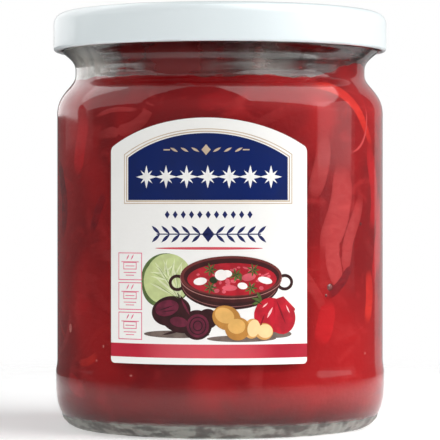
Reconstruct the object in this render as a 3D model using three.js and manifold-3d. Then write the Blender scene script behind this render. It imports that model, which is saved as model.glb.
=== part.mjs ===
// A 450 ml glass jar of borscht with a white twist-off lid and an arched paper label.
// Millimetres, +Z up. The origin is the centre of the jar's foot, and the label faces -Y.
import * as THREE from "three";
import { mergeVertices } from "three/addons/utils/BufferGeometryUtils.js";
import Module from "manifold-3d";

const wasm = await Module();
wasm.setup();

// Driving dimensions.
const SEGMENTS = 48; // facets round each turned piece
const CURVE_STEPS = 3; // steps along each curved stretch of a profile
const CLEARANCE = 0.3; // gap that keeps neighbouring solids apart
const WELD = 1e-4; // corners closer than this are one

// Jar, outside.
const BODY_R = 42.2; // bumper roll below the label panel
const BODY_Z = [10, 13.5]; // lowest and highest point of that roll
const PANEL_R = 41.83; // wall that the label is glued to
const PANEL_BOTTOM = 17.5;
const FOOT_R = 36; // outer edge of the ring that the jar stands on
const FOOT_WIDTH = 3;
const PUSH_UP = 2.2; // rise of the underside at its middle
const PUSH_UP_HANDLE = [5, 0.6]; // in from the foot and up: where the underside's curve heads down
const SHOULDER_Z = 80; // where the body starts to turn in
const SHOULDER_HANDLES = [5.6, 3.1]; // up from the shoulder and down from the waist
const WAIST_R = 37.15; // narrowest part of the neck
const WAIST_Z = [90, 91.3];
const FLARE_HANDLES = [2.4, 1.1]; // up from the waist, and down and in from the bead
const BEAD_R = 40.5; // ring below the lid
const BEAD_Z = 95.9;
const BEAD_TOP = 0.5; // height over which the bead steps in to the finish
const FINISH_R = 39.7; // wall that the lid turns on
const RIM_Z = 104.95;

// Jar, inside.
const BODY_BORE_R = 39.8;
const BORE_SHOULDER_Z = [79.4, 88.8]; // where the bore starts and ends to turn in
const BORE_STEPS = 6; // rings of corners along that turn
const WAIST_BORE_R = 34.9;
const MOUTH_R = 37.3;
const MOUTH_Z = [90, 102.95]; // where the bore starts and ends to widen to the mouth
const MOUTH_STEPS = 4;
const FLOOR_Z = 4.8; // top of the glass floor at its middle
const FLOOR_EDGE_R = 31;
const FLOOR_EDGE_Z = 4;
const FLOOR_HANDLE = 6; // to either side of the floor's edge
const BORE_HEEL_Z = 12;
const BORE_HEEL_HANDLE = 5; // down from the top of the heel

// Thread ribs on the jar and the lugs of the lid that catch under them.
const LUGS = 6;
const RIB_R = 40.9;
const RIB_ROOT = 0.6; // how deep a rib is set into the wall
const RIB_HEIGHT = 1.3;
const RIB_Z = 97.3; // underside of a rib at its low end
const RIB_RISE = 1.6; // climb of a rib from its low end to its high end
const RIB_ANGLE = THREE.MathUtils.degToRad(34);
const BLOCK_STEPS = 4; // facets along a rib or a lug
const LUG_R = 40.3; // how far in a lug reaches
const LUG_ANGLE = THREE.MathUtils.degToRad(12);
const LUG_OFFSET = THREE.MathUtils.degToRad(12); // turn from a rib's low end to its lug
const LUG_Z = [96.7, 97.5]; // lowest and highest point of a lug, within the curl's height

// Lid.
const LID_R = 42.75;
const LID_BOTTOM = 96.1;
const LID_TOP = 105.8;
const SHEET = 0.5; // steel with its lacquer and liner
const CURL_R = 0.75; // rolled lower edge
const CURL_LIP = 0.4; // plain skirt between the curl and the straight inside
const LID_CORNER = 2.7;
const RING_R = 38.1; // inner edge of the raised ring over the rim
const PANEL_DROP = 0.9; // step from that ring down to the flat middle
const RING_INSET = 0.4; // how much further in the ring's inside steps down
const BUTTON_R = 13;
const BUTTON_SLOPE = 2; // width over which the button rises
const BUTTON_RISE = 0.5;

// Contents.
const LEVEL_Z = 87.6;
const EDGE_STEPS = 6; // steps from the shoulder up to the edge of the surface
const TOP_RINGS = 5;
const MOUND_HEIGHT = 6; // vegetables heaped against one side of the neck
const MOUND_CENTRE = [32, -8];
const MOUND_SPREAD = 12;
const LUMP_HEIGHT = 0.5;
const LUMP_WAVES = { x: 0.31, y: 0.27, skew: 0.11, start: 1 }; // radians per millimetre, and at 0

// Label.
const LABEL_WIDTH = 50.5; // measured along the glass
const LABEL_BOTTOM = 18.3;
const LABEL_SHOULDER = 70.6; // top of the straight sides
const LABEL_TOP = 77.7;
const LABEL_CORNER = 1;
const LABEL_GAP = 0.08;
const LABEL_THICKNESS = 0.2;
const LABEL_CELLS = [18, 4]; // across and up

// A profile path's points, as a solid turned round Z.
function turned(path) {
  const geometry = new THREE.LatheGeometry(path.getPoints(CURVE_STEPS), SEGMENTS);
  return geometry.rotateX(Math.PI / 2);
}

function toManifold(geometry) {
  const bare = geometry.index ? geometry.toNonIndexed() : geometry.clone();
  bare.deleteAttribute("normal");
  bare.deleteAttribute("uv");
  const merged = mergeVertices(bare, WELD);
  return new wasm.Manifold(
    new wasm.Mesh({
      numProp: 3,
      vertProperties: new Float32Array(merged.attributes.position.array),
      triVerts: new Uint32Array(merged.index.array),
    }),
  );
}

function fromManifold(solid) {
  const mesh = solid.getMesh();
  const geometry = new THREE.BufferGeometry();
  geometry.setAttribute("position", new THREE.BufferAttribute(mesh.vertProperties, 3));
  geometry.setIndex(new THREE.BufferAttribute(mesh.triVerts, 1));
  geometry.computeVertexNormals();
  return geometry;
}

// A curved block between two radii, from angle 0 to angle, climbing by rise along its length.
function curvedBlock(innerR, outerR, angle, height, rise) {
  const outline = new THREE.Shape();
  outline.absarc(0, 0, outerR, 0, angle, false);
  outline.absarc(0, 0, innerR, angle, 0, true);
  const block = new THREE.ExtrudeGeometry(outline, {
    depth: height,
    bevelEnabled: false,
    curveSegments: BLOCK_STEPS,
  });
  const places = block.attributes.position;
  for (let i = 0; i < places.count; i++) {
    const share = Math.atan2(places.getY(i), places.getX(i)) / angle;
    places.setZ(i, places.getZ(i) + rise * share);
  }
  return block;
}

// The base solid with copies of a block joined on, evenly round the axis.
function withBlocks(base, block, z, startAngle) {
  let solid = toManifold(base);
  for (let i = 0; i < LUGS; i++) {
    const copy = block.clone();
    copy.rotateZ(startAngle + (i * 2 * Math.PI) / LUGS);
    copy.translate(0, 0, z);
    solid = solid.add(toManifold(copy));
  }
  return fromManifold(solid);
}

// The stretch of wall from the middle of the glass floor up to the shoulder, drawn inset by a gap.
function drawBore(path, gap) {
  path.moveTo(0, FLOOR_Z + gap);
  path.bezierCurveTo(
    FLOOR_EDGE_R / 2,
    FLOOR_Z + gap,
    FLOOR_EDGE_R - FLOOR_HANDLE,
    FLOOR_EDGE_Z + gap,
    FLOOR_EDGE_R,
    FLOOR_EDGE_Z + gap,
  );
  path.bezierCurveTo(
    FLOOR_EDGE_R + FLOOR_HANDLE - gap,
    FLOOR_EDGE_Z + gap,
    BODY_BORE_R - gap,
    BORE_HEEL_Z - BORE_HEEL_HANDLE + gap,
    BODY_BORE_R - gap,
    BORE_HEEL_Z,
  );
  path.lineTo(BODY_BORE_R - gap, BORE_SHOULDER_Z[0]);
  return path;
}

// Radius of the bore at a height above its shoulder.
function boreRadius(z) {
  const { lerp, smoothstep } = THREE.MathUtils;
  const neck = lerp(BODY_BORE_R, WAIST_BORE_R, smoothstep(z, ...BORE_SHOULDER_Z));
  return lerp(neck, MOUTH_R, smoothstep(z, ...MOUTH_Z));
}

// Points of the bore between two heights above its shoulder, the first height left out.
function borePoints([from, to], steps) {
  return Array.from({ length: steps }, (_, i) => {
    const z = THREE.MathUtils.lerp(from, to, (i + 1) / steps);
    return new THREE.Vector2(boreRadius(z), z);
  });
}

function jarGeometry() {
  const rimRadius = (FINISH_R - MOUTH_R) / 2;
  const [pushUpIn, pushUpRise] = PUSH_UP_HANDLE;
  const outside = new THREE.Path();
  outside.moveTo(0, PUSH_UP);
  outside.bezierCurveTo(
    FOOT_R / 2,
    PUSH_UP,
    FOOT_R - FOOT_WIDTH - pushUpIn,
    pushUpRise,
    FOOT_R - FOOT_WIDTH,
    0,
  );
  outside.lineTo(FOOT_R, 0);
  outside.absellipse(FOOT_R, BODY_Z[0], BODY_R - FOOT_R, BODY_Z[0], -Math.PI / 2, 0, false, 0);
  outside.lineTo(BODY_R, BODY_Z[1]);
  outside.lineTo(PANEL_R, PANEL_BOTTOM);
  outside.lineTo(PANEL_R, SHOULDER_Z);
  outside.bezierCurveTo(
    PANEL_R,
    SHOULDER_Z + SHOULDER_HANDLES[0],
    WAIST_R,
    WAIST_Z[0] - SHOULDER_HANDLES[1],
    WAIST_R,
    WAIST_Z[0],
  );
  outside.lineTo(WAIST_R, WAIST_Z[1]);
  outside.bezierCurveTo(
    WAIST_R,
    WAIST_Z[1] + FLARE_HANDLES[0],
    BEAD_R - FLARE_HANDLES[1],
    BEAD_Z - FLARE_HANDLES[1],
    BEAD_R,
    BEAD_Z,
  );
  outside.lineTo(FINISH_R, BEAD_Z + BEAD_TOP);
  outside.lineTo(FINISH_R, RIM_Z - rimRadius);
  outside.absarc(MOUTH_R + rimRadius, RIM_Z - rimRadius, rimRadius, 0, Math.PI, false);

  const points = outside.getPoints(CURVE_STEPS);
  points.push(...borePoints(MOUTH_Z, MOUTH_STEPS).reverse());
  points.push(...borePoints(BORE_SHOULDER_Z, BORE_STEPS).reverse());
  points.push(...drawBore(new THREE.Path(), 0).getPoints(CURVE_STEPS).reverse());

  const shell = new THREE.LatheGeometry(points, SEGMENTS).rotateX(Math.PI / 2);
  const rib = curvedBlock(FINISH_R - RIB_ROOT, RIB_R, RIB_ANGLE, RIB_HEIGHT, RIB_RISE);
  return withBlocks(shell, rib, RIB_Z, 0);
}

function lidGeometry() {
  const skirtInside = LID_R - SHEET;
  const panelTop = LID_TOP - PANEL_DROP;
  const panelInside = panelTop - SHEET;
  const ringInside = LID_TOP - SHEET;
  const path = new THREE.Path();
  path.moveTo(0, panelInside + BUTTON_RISE);
  path.lineTo(BUTTON_R - BUTTON_SLOPE, panelInside + BUTTON_RISE);
  path.lineTo(BUTTON_R, panelInside);
  path.lineTo(RING_R - PANEL_DROP - RING_INSET, panelInside);
  path.lineTo(RING_R - RING_INSET, ringInside);
  path.lineTo(LID_R - LID_CORNER, ringInside);
  path.absarc(
    LID_R - LID_CORNER,
    LID_TOP - LID_CORNER,
    LID_CORNER - SHEET,
    Math.PI / 2,
    0,
    true,
  );
  path.lineTo(skirtInside, LID_BOTTOM + 2 * CURL_R + CURL_LIP);
  path.absarc(LID_R - CURL_R, LID_BOTTOM + CURL_R, CURL_R, Math.PI / 2, 2 * Math.PI, false);
  path.absarc(LID_R - LID_CORNER, LID_TOP - LID_CORNER, LID_CORNER, 0, Math.PI / 2, false);
  path.lineTo(RING_R, LID_TOP);
  path.lineTo(RING_R - PANEL_DROP, panelTop);
  path.lineTo(BUTTON_R, panelTop);
  path.lineTo(BUTTON_R - BUTTON_SLOPE, panelTop + BUTTON_RISE);
  path.lineTo(0, panelTop + BUTTON_RISE);

  const lug = curvedBlock(LUG_R, LID_R - CURL_R, LUG_ANGLE, LUG_Z[1] - LUG_Z[0], 0);
  return withBlocks(turned(path), lug, LUG_Z[0], LUG_OFFSET);
}

// Height of the contents' surface over a point: a heap to one side and small lumps everywhere.
function surfaceHeight(x, y) {
  const away = Math.hypot(x - MOUND_CENTRE[0], y - MOUND_CENTRE[1]) / MOUND_SPREAD;
  const mound = MOUND_HEIGHT * Math.exp(-away * away);
  const { x: alongX, y: alongY, skew, start } = LUMP_WAVES;
  const lumps = Math.sin(x * alongX + start) * Math.cos(y * alongY - x * skew);
  return LEVEL_Z + mound + LUMP_HEIGHT * lumps;
}

function borschtGeometry() {
  const wallR = WAIST_BORE_R - CLEARANCE;
  const points = drawBore(new THREE.Path(), CLEARANCE).getPoints(CURVE_STEPS);
  const shoulder = points.length - 1;
  for (let step = 1; step <= EDGE_STEPS; step++) points.push(new THREE.Vector2(wallR, LEVEL_Z));
  for (let ring = TOP_RINGS - 1; ring >= 0; ring--)
    points.push(new THREE.Vector2((wallR * ring) / TOP_RINGS, LEVEL_Z));

  // Above the shoulder each point moves up towards the uneven surface, and out to the wall.
  const geometry = new THREE.LatheGeometry(points, SEGMENTS).rotateX(Math.PI / 2);
  const places = geometry.attributes.position;
  for (let i = 0; i < places.count; i++) {
    const step = (i % points.length) - shoulder;
    if (step <= 0) continue;
    const [x, y] = [places.getX(i), places.getY(i)];
    const climb = Math.min(1, step / EDGE_STEPS);
    const z = THREE.MathUtils.lerp(points[shoulder].y, surfaceHeight(x, y), climb);
    const spread = (boreRadius(z) - CLEARANCE) / wallR;
    places.setXYZ(i, x * spread, y * spread, z);
  }
  return geometry;
}

// The heights of the label's lower and upper edge at a distance across from its middle.
function labelEdges(across) {
  const half = LABEL_WIDTH / 2;
  const rise = LABEL_TOP - LABEL_SHOULDER;
  const archR = (half * half + rise * rise) / (2 * rise);
  const inCorner = Math.max(0, Math.abs(across) - (half - LABEL_CORNER));
  const cut = LABEL_CORNER - Math.sqrt(LABEL_CORNER ** 2 - inCorner ** 2);
  const arch = LABEL_TOP - archR + Math.sqrt(archR * archR - across * across);
  return [LABEL_BOTTOM + cut, arch - cut];
}

// A thin sheet bent round the glass: a flat grid whose depth is the sheet's thickness.
function labelGeometry() {
  const [cellsAcross, cellsUp] = LABEL_CELLS;
  const sheet = new THREE.BoxGeometry(1, 1, 1, cellsAcross, cellsUp, 1);
  const places = sheet.attributes.position;
  for (let i = 0; i < places.count; i++) {
    // Finer steps near both sides, where the corners are rounded.
    const across = (LABEL_WIDTH / 2) * Math.sin(places.getX(i) * Math.PI);
    const [low, high] = labelEdges(across);
    const z = THREE.MathUtils.lerp(low, high, places.getY(i) + 0.5);
    const depth = (places.getZ(i) + 0.5) * LABEL_THICKNESS;
    const angle = across / PANEL_R;
    const r = PANEL_R + LABEL_GAP + depth;
    places.setXYZ(i, r * Math.sin(angle), -r * Math.cos(angle), z);
  }
  return sheet;
}

function piece(name, geometry, colour, roughness, metalness) {
  const material = new THREE.MeshStandardMaterial({ color: colour, roughness, metalness });
  const mesh = new THREE.Mesh(geometry, material);
  mesh.name = name;
  return mesh;
}

const jar = piece("jar", jarGeometry(), 0xd7dfda, 0.05, 0);
jar.material.transparent = true;
jar.material.opacity = 0.35;

const jarOfBorscht = new THREE.Group();
jarOfBorscht.add(
  jar,
  piece("lid", lidGeometry(), 0xeef3f4, 0.3, 0.1),
  piece("borscht", borschtGeometry(), 0x74100f, 0.3, 0),
  piece("label", labelGeometry(), 0xf2f1ee, 0.5, 0),
);

export default jarOfBorscht;
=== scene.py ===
"""A sealed glass jar of borscht with a white twist-off lid and a paper label.

Metres, +Z up. The jar stands on the middle of its foot and the label faces -Y.
"""

import random
from math import atan2, cos, exp, hypot, pi, radians, sin, sqrt, tau

import bmesh
import bpy
from mathutils import Matrix, Quaternion, Vector, noise
from mathutils.geometry import interpolate_bezier


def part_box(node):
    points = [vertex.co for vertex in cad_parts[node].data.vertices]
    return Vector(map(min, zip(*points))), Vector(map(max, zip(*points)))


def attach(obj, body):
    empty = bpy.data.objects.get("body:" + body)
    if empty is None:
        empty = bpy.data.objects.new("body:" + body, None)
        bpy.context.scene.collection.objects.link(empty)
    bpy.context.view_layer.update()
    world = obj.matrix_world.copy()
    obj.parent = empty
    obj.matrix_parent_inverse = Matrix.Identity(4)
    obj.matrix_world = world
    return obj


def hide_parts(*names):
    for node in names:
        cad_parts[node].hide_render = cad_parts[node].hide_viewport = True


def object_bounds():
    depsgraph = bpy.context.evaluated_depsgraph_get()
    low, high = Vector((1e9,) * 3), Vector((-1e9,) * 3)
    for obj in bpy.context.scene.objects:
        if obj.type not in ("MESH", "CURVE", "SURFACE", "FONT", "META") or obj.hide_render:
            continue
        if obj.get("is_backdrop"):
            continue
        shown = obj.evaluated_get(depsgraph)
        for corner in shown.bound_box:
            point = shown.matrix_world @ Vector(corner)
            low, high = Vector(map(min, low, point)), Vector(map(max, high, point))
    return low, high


bl_info = {
    "name": "Jar of Borscht",
    "version": (1, 0, 0),
    "blender": (4, 5, 0),
    "location": "View3D > Sidebar > Borscht",
    "description": "Builds a sealed jar of borscht with its lid, contents and printed label",
    "category": "Add Mesh",
}

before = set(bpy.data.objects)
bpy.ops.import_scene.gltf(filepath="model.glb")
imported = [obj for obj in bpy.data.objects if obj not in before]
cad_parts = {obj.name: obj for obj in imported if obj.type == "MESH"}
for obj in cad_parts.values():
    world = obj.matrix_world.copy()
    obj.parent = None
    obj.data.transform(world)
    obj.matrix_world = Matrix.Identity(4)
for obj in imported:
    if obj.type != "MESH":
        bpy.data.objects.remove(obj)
CAD_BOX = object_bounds()
BODY = "root"

MM = 1e-3
WELD = 1e-6  # points closer than this are one
SHARP_ANGLE = radians(40)  # edges bent further than this stay crisp
FINE_SEGMENTS = 192  # facets round the lid and the contents

# Jar, outside. A pair of handles gives how far a curve runs on from its lower and upper end.
BODY_R = 42.2e-3
BODY_Z = (10e-3, 13.5e-3)
PANEL_R = 41.83e-3
PANEL_BOTTOM = 17.5e-3
FOOT_R = 36e-3
FOOT_WIDTH = 3e-3
PUSH_UP = 2.2e-3
PUSH_UP_HANDLE = (5e-3, 0.6e-3)
SHOULDER_Z = 80e-3
SHOULDER_HANDLES = (5.6e-3, 3.1e-3)
WAIST_R = 37.15e-3
WAIST_Z = (90e-3, 91.3e-3)
FLARE_HANDLES = (2.4e-3, 1.1e-3)
BEAD_R = 40.5e-3
BEAD_Z = 95.9e-3
BEAD_TOP = 0.5e-3
FINISH_R = 39.7e-3
RIM_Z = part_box("jar")[1].z

# Jar, inside.
BORE_R = 39.8e-3
BORE_SHOULDER_Z = (79.4e-3, 88.8e-3)
NECK_BORE_R = 34.9e-3
MOUTH_R = 37.3e-3
MOUTH_Z = (90e-3, 102.95e-3)
NECK_ROWS = 44
FLOOR_Z = 4.8e-3
FLOOR_EDGE = (31e-3, 4e-3)
FLOOR_HANDLE = 6e-3
BORE_HEEL_Z = 12e-3
BORE_HEEL_HANDLE = 5e-3
WALL_BITE = 0.12e-3  # how far the contents reach into the glass, so that no air shows between

# Screw thread, and the lugs of the lid under it.
LUGS = 6
RIB_R = 40.9e-3
RIB_HEIGHT = 1.3e-3
RIB_Z = 97.3e-3
RIB_RISE = 1.6e-3
RIB_ANGLE = radians(34)
RIB_TAPER = 0.12  # share of a rib's length over which each end runs out
RIB_ROUNDNESS = 0.6  # 0.5 makes its section an ellipse, and 1 a parabola
LUG_R = 40.3e-3
LUG_ANGLE = radians(12)
LUG_OFFSET = radians(12)
LUG_TAPER = 0.3

# Knurled grip round the foot, which keeps the hot jar from sticking to its belt.
KNURL_DEPTH = 0.3e-3
KNURL_SLANT = 420.0 * pi  # turn of the pattern for each metre up, in radians
KNURL_Z = (0.15e-3, 3.4e-3)
KNURL_FADE = 0.8  # share of the upper height where the bars start to fade
FROST_Z = (2.8e-3, 4.2e-3)  # the glass is frosted below the first height and clear over the second
FROST_R = (31.5e-3, 33e-3)  # and clear inside the first radius and frosted outside the second

# Lid.
LID_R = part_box("lid")[1].x
LID_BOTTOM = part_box("lid")[0].z
LID_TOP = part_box("lid")[1].z
SHEET = 0.5e-3
CURL_R = 0.75e-3
CURL_LIP = 0.4e-3
LID_CORNER = 2.7e-3
RING_R = 38.1e-3
RING_EDGE = 0.5e-3
PANEL_DROP = 0.9e-3
BUTTON_R = 13e-3
BUTTON_SLOPE = 2e-3
BUTTON_RISE = 0.5e-3

# Contents.
LEVEL_Z = 87.6e-3
MOUND_HEIGHT = 6e-3
MOUND_CENTRE = (32e-3, -8e-3)
MOUND_SPREAD = 12e-3
LUMP_HEIGHT = 0.5e-3
LUMP_WAVES = (310.0, 270.0, 110.0, 1.0)
RELIEF = 0.6e-3  # of the fine unevenness on that top
RELIEF_WAVES = ((260, 1), (620, 0.5))  # how many to a metre, and how strong
TOP_RINGS = 48

# Film on the neck: its heights, how far it reaches out into the glass and in from it, and its rows.
FILM_Z = (LEVEL_Z - 1.5e-3, RIM_Z - 5e-3)
FILM_OUT, FILM_IN = 0.05e-3, 0.1e-3
FILM_ROWS = 24

# Label.
LABEL_HALF = 25.25e-3
LABEL_BOTTOM = 18.3e-3
LABEL_SHOULDER = 70.6e-3
LABEL_TOP = 77.7e-3
LABEL_CORNER = 1e-3
LABEL_GAP = 0.08e-3
LABEL_THICKNESS = 0.2e-3
INK_THICKNESS = 0.008e-3  # step from one layer of ink to the next
INK_REACH = 1.5  # layers that an ink is thick, so that it reaches into the one under it
BEND_STEP = 1e-3  # width of the flat strips that a bent sheet is cut into


def srgb(red, green, blue):
    """A colour given in steps of 0 to 255, as the linear colour with alpha that nodes work in."""
    shares = [step / 255 for step in (red, green, blue)]
    return (*((s / 12.92 if s <= 0.04045 else ((s + 0.055) / 1.055) ** 2.4) for s in shares), 1)


def smooth_step(value, low, high):
    """0 below low, 1 above high, and an easy curve between them."""
    share = min(1, max(0, (value - low) / (high - low)))
    return share * share * (3 - 2 * share)


# Materials.


class Wire:
    """A node's output, for shader maths written as plain expressions."""

    def __init__(self, finish, socket):
        self.finish, self.socket = finish, socket

    def __add__(self, other):
        return self.finish.maths("ADD", self, other)

    def __sub__(self, other):
        return self.finish.maths("SUBTRACT", self, other)

    def __rsub__(self, other):
        return self.finish.maths("SUBTRACT", other, self)

    def __mul__(self, other):
        return self.finish.maths("MULTIPLY", self, other)

    __radd__, __rmul__ = __add__, __mul__


class Finish:
    """A node tree under construction."""

    def __init__(self, tree):
        self.tree = tree
        tree.nodes.clear()

    def node(self, kind, settings, sockets, output=0):
        """Adds a node: its settings first, then its sockets' values or links. Returns an output."""
        node = self.tree.nodes.new(kind)
        for name, value in settings.items():
            setattr(node, name, value)
        for name, value in sockets.items():
            if isinstance(value, Wire):
                self.tree.links.new(value.socket, node.inputs[name])
            else:
                node.inputs[name].default_value = value
        return None if output is None else Wire(self, node.outputs[output])

    def maths(self, operation, first, second=0.0):
        return self.node("ShaderNodeMath", {"operation": operation}, {0: first, 1: second})

    def place(self, scale=(1, 1, 1), turn=(0, 0, 0)):
        """Object coordinates, stretched and turned."""
        point = self.node("ShaderNodeTexCoord", {}, {}, "Object")
        sockets = {"Vector": point, "Rotation": turn, "Scale": scale}
        return self.node("ShaderNodeMapping", {}, sockets)

    def noise(self, point, scale, detail=2.0, distortion=0.0):
        """Cloudy noise from 0 to 1; its features are about 1 / scale metres wide."""
        sockets = {"Vector": point, "Scale": scale, "Detail": detail, "Distortion": distortion}
        return self.node("ShaderNodeTexNoise", {}, sockets)

    def ramp(self, value, low, high, to_low=0.0, to_high=1.0):
        """Eases a value from one range into another and keeps it there."""
        settings = {"interpolation_type": "SMOOTHSTEP"}
        sockets = {0: value, 1: low, 2: high, 3: to_low, 4: to_high}
        return self.node("ShaderNodeMapRange", settings, sockets)

    def mix(self, factor, first, second):
        """A colour between two others."""
        sockets = {0: factor, 6: first, 7: second}
        return self.node("ShaderNodeMix", {"data_type": "RGBA"}, sockets, 2)

    def distance(self, point, other=(0, 0, 0)):
        """How far a point is from another."""
        settings = {"operation": "DISTANCE"}
        return self.node("ShaderNodeVectorMath", settings, {0: point, 1: other}, "Value")

    def part(self, point, axis):
        """One number out of a point."""
        return self.node("ShaderNodeSeparateXYZ", {}, {0: point}, axis)

    def blend(self, factor, first, second):
        """A shader between two others."""
        return self.node("ShaderNodeMixShader", {}, {0: factor, 1: first, 2: second})

    def bump(self, height, strength, distance):
        sockets = {"Height": height, "Strength": strength, "Distance": distance}
        return self.node("ShaderNodeBump", {}, sockets)

    def principled(self, sockets):
        return self.node("ShaderNodeBsdfPrincipled", {}, sockets)

    def output(self, surface, **others):
        self.node("ShaderNodeOutputMaterial", {}, {"Surface": surface, **others}, None)


def new_material(name):
    """A new material and the finish to build it with."""
    material = bpy.data.materials.new(name)
    material.use_nodes = True
    return material, Finish(material.node_tree)


def glass_material(settings):
    """Clear flint glass, a little wavy, with a ground foot streaked with painted shade. It casts no
    dark shadow inside.
    """
    material, finish = new_material("flint_glass")
    place = finish.place()
    waves = finish.noise(finish.place((1, 1, 0.5)), 45.0, 1.0)
    grit = finish.noise(place, 700.0, 2.0)
    strokes = finish.noise(finish.place((1, 1, 3), (0.25, 0.2, 0)), 190.0, 2.0)
    below = 1 - finish.ramp(finish.part(place, "Z"), *FROST_Z)
    frost = below * finish.ramp(finish.distance(finish.place((1, 1, 0))), *FROST_R)
    glass = finish.principled(
        {
            "Base Color": settings.clear,
            "Roughness": settings.roughness + frost * 0.25,
            "IOR": 1.5,
            "Transmission Weight": 1.0,
            "Normal": finish.bump(waves, 0.12, 1e-3),
        }
    )
    # Painted shade: darker streaks on the ground foot, standing in for the shade between the grip's
    # bars.
    hollows = finish.ramp(grit * 0.4 + strokes * 0.8, 0.52, 0.68)
    ground = finish.principled(
        {
            "Base Color": finish.mix(hollows, settings.frost, settings.frost_painted_shade),
            "Roughness": 0.3 + grit * 0.2,
            "Normal": finish.bump(grit, 0.4, 3e-4),
        }
    )
    solid = finish.blend(frost * (0.3 + strokes * 0.6), glass, ground)
    passing = finish.node("ShaderNodeBsdfTransparent", {}, {"Color": settings.clear})
    shadow = finish.node("ShaderNodeLightPath", {}, {}, "Is Shadow Ray")
    tint = {"Color": settings.tint, "Density": settings.tint_density}
    volume = finish.node("ShaderNodeVolumeAbsorption", {}, tint)
    finish.output(finish.blend(shadow, solid, passing), Volume=volume)
    return material


def enamel_material(settings):
    """Baked white enamel on steel: faint orange peel, fine scratches and one scuff."""
    material, finish = new_material("white_enamel")
    place = finish.place()
    clouds = finish.noise(place, 60.0, 3.0)
    peel = finish.noise(place, 1400.0, 1.0)
    lines = finish.noise(finish.place((1, 14, 14), (0.3, 0.2, 0.5)), 90.0)
    scratches = finish.ramp(lines, 0.6, 0.75)
    ragged = finish.noise(place, 900.0) * 9e-4
    scuff = finish.ramp(finish.distance(place, settings.scuff_place) + ragged, 1.3e-3, 0.4e-3)
    colour = finish.mix(clouds * 0.35, settings.enamel, settings.enamel_shade)
    surface = finish.principled(
        {
            "Base Color": finish.mix(scuff * 0.7, colour, settings.scuff),
            "Roughness": 0.27 + clouds * 0.06 + scratches * 0.06 + scuff * 0.3,
            "Coat Weight": 0.4,
            "Coat Roughness": 0.12,
            "Normal": finish.bump(peel, 0.05, 1e-4),
        }
    )
    finish.output(surface)
    return material


def broth_colour(finish, settings):
    """Beet broth with mash in it: deep red clouds, paler drifts and faint strands."""
    drifts = finish.noise(finish.place((1, 1, 0.7)), 42.0, 2.0, 0.6)
    mash = finish.noise(finish.place((1, 1, 1.5), (0.5, 0.3, 0)), 110.0, 3.0, 0.9)
    strands = finish.noise(finish.place((0.6, 1, 2.2), (0.4, 0.7, 0.2)), 240.0, 3.0, 2.0)
    colour = finish.mix(finish.ramp(drifts, 0.36, 0.66), settings.broth_deep, settings.broth)
    pale = finish.ramp(mash, 0.5, 0.78) * 0.4 + finish.ramp(strands, 0.56, 0.76) * 0.16
    return finish.mix(pale, colour, settings.broth_pale)


def wet_surface(finish, colour, grain):
    """A wet surface pressed to the glass, so that only the glass over it shines."""
    return finish.principled(
        {
            "Base Color": colour,
            "Roughness": 0.35 + grain * 0.2,
            "Specular IOR Level": 0.06,
            "Normal": finish.bump(grain, 0.3, 4e-4),
        }
    )


def broth_material(settings):
    material, finish = new_material("beet_broth")
    grain = finish.noise(finish.place(), 700.0, 3.0)
    finish.output(wet_surface(finish, broth_colour(finish, settings), grain))
    return material


def shred_material(name, colour, settings):
    """A vegetable stained by the broth. It shows clearly only where it is pressed to the glass."""
    material, finish = new_material(name)
    fibres = finish.noise(finish.place((1, 1, 2.2), (0.4, 0.2, 0.1)), 300.0, 3.0, 0.8)
    stain = finish.noise(finish.place(), 90.0, 2.0, 0.5)
    own = finish.mix(finish.ramp(fibres, 0.3, 0.75) * 0.35, colour, settings.broth)
    own = finish.mix(finish.ramp(stain, 0.4, 0.75) * 0.4, own, settings.broth)
    attribute = {"attribute_name": "clearness"}
    clearness = finish.node("ShaderNodeAttribute", attribute, {}, "Fac")
    colour = finish.mix(clearness, broth_colour(finish, settings), own)
    finish.output(wet_surface(finish, colour, fibres))
    return material


def speck_material(settings):
    """Small pale crumbs of potato and fat."""
    material, finish = new_material("pale_crumb")
    mottle = finish.noise(finish.place(), 900.0, 2.0)
    colour = finish.mix(mottle, settings.crumb, settings.broth_pale)
    finish.output(wet_surface(finish, colour, mottle))
    return material


def bubble_material(settings):
    """The shiny skin of broth inside an air bubble against the glass, darkened with painted shade.
    """
    material, finish = new_material("bubble_skin")
    ripple = finish.noise(finish.place(), 1200.0, 1.0)
    surface = finish.principled(
        {
            # Painted shade: the bubble's skin is darker than the broth round it.
            "Base Color": finish.mix(ripple, settings.broth_deep, settings.film),
            "Roughness": 0.06 + ripple * 0.1,
            "Normal": finish.bump(ripple, 0.2, 2e-4),
        }
    )
    finish.output(surface)
    return material


# Middle, reach and strength of each splash on the neck, then of each near-white patch of painted
# reflection.
SPLASHES = (
    ((-8e-3, -34e-3, 94e-3), 24e-3, 0.95),
    ((33e-3, -18e-3, 92e-3), 15e-3, 0.95),
    ((26e-3, 22e-3, 92e-3), 24e-3, 0.7),
)
PAINTED_REFLECTIONS = (
    ((-34e-3, -16e-3, 92e-3), 23e-3, 1.0),
    ((14e-3, -32e-3, 92e-3), 13e-3, 0.4),
)


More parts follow.
